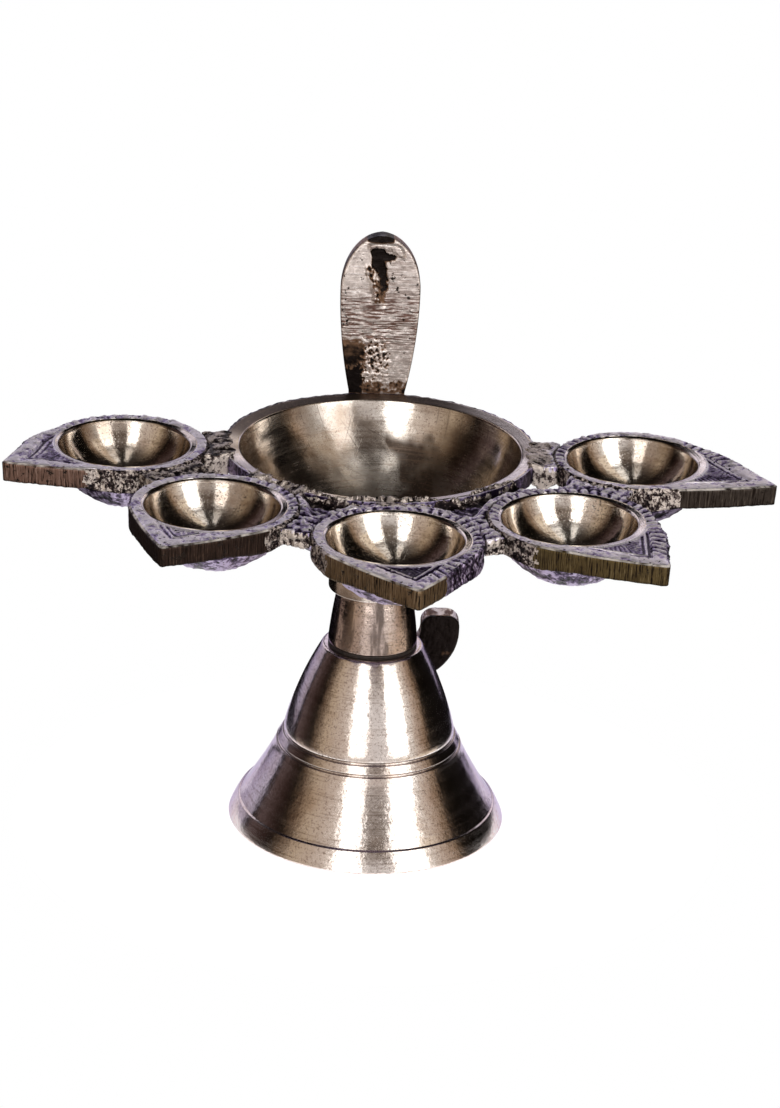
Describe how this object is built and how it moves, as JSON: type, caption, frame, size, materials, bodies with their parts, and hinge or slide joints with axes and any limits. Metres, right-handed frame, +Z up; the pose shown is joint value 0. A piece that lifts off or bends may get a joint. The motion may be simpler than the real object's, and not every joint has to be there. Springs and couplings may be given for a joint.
{
  "type": "aarti lamp",
  "caption": "Brass aarti lamp: turned oil bowl on a screwed-on bell foot, with pointed cast leaf cups fanned round its front and a serpent-hood handle behind.",
  "frame": {"origin": "middle of the foot's standing face", "axes": "+Z up along the foot's axis, -Y towards the front leaf, +X to the right of someone who faces the lamp's front"},
  "size_m": [0.1455, 0.1096, 0.1108],
  "materials": {
    "turned_brass": "turned and polished, fine tool lines",
    "cast_brass": "rough sand cast, filed edges",
    "braze": "rough, dark in the hollows",
    "packing": "oiled and pressed flat"
  },
  "bodies": {
    "foot": {"foot_bell": "turned_brass"},
    "packing": {"packing_washer": "packing"},
    "lamp_top": {"neck": "turned_brass", "oil_bowl": "turned_brass", "leaf_cup_left_outer": "cast_brass", "leaf_cup_left_front": "cast_brass", "leaf_cup_front": "cast_brass", "leaf_cup_right_front": "cast_brass", "leaf_cup_right_outer": "cast_brass", "braze_webs": "braze", "serpent_handle": "cast_brass", "handle_bead": "braze"}
  },
  "joints": [
    {"name": "neck_lift", "type": "slide", "parent": "foot", "child": "packing", "axis": [0, 0, 1], "range_m": [0, 0.0054]},
    {"name": "neck_turn", "type": "hinge", "parent": "packing", "child": "lamp_top", "pos_m": [0, 0, 0.0379], "axis": [0, 0, 1], "range_deg": [0, 1530]}
  ],
  "couplings": [
    {"joint": "neck_lift", "follows": "neck_turn", "m_per_rad": 0.00019894}
  ]
}
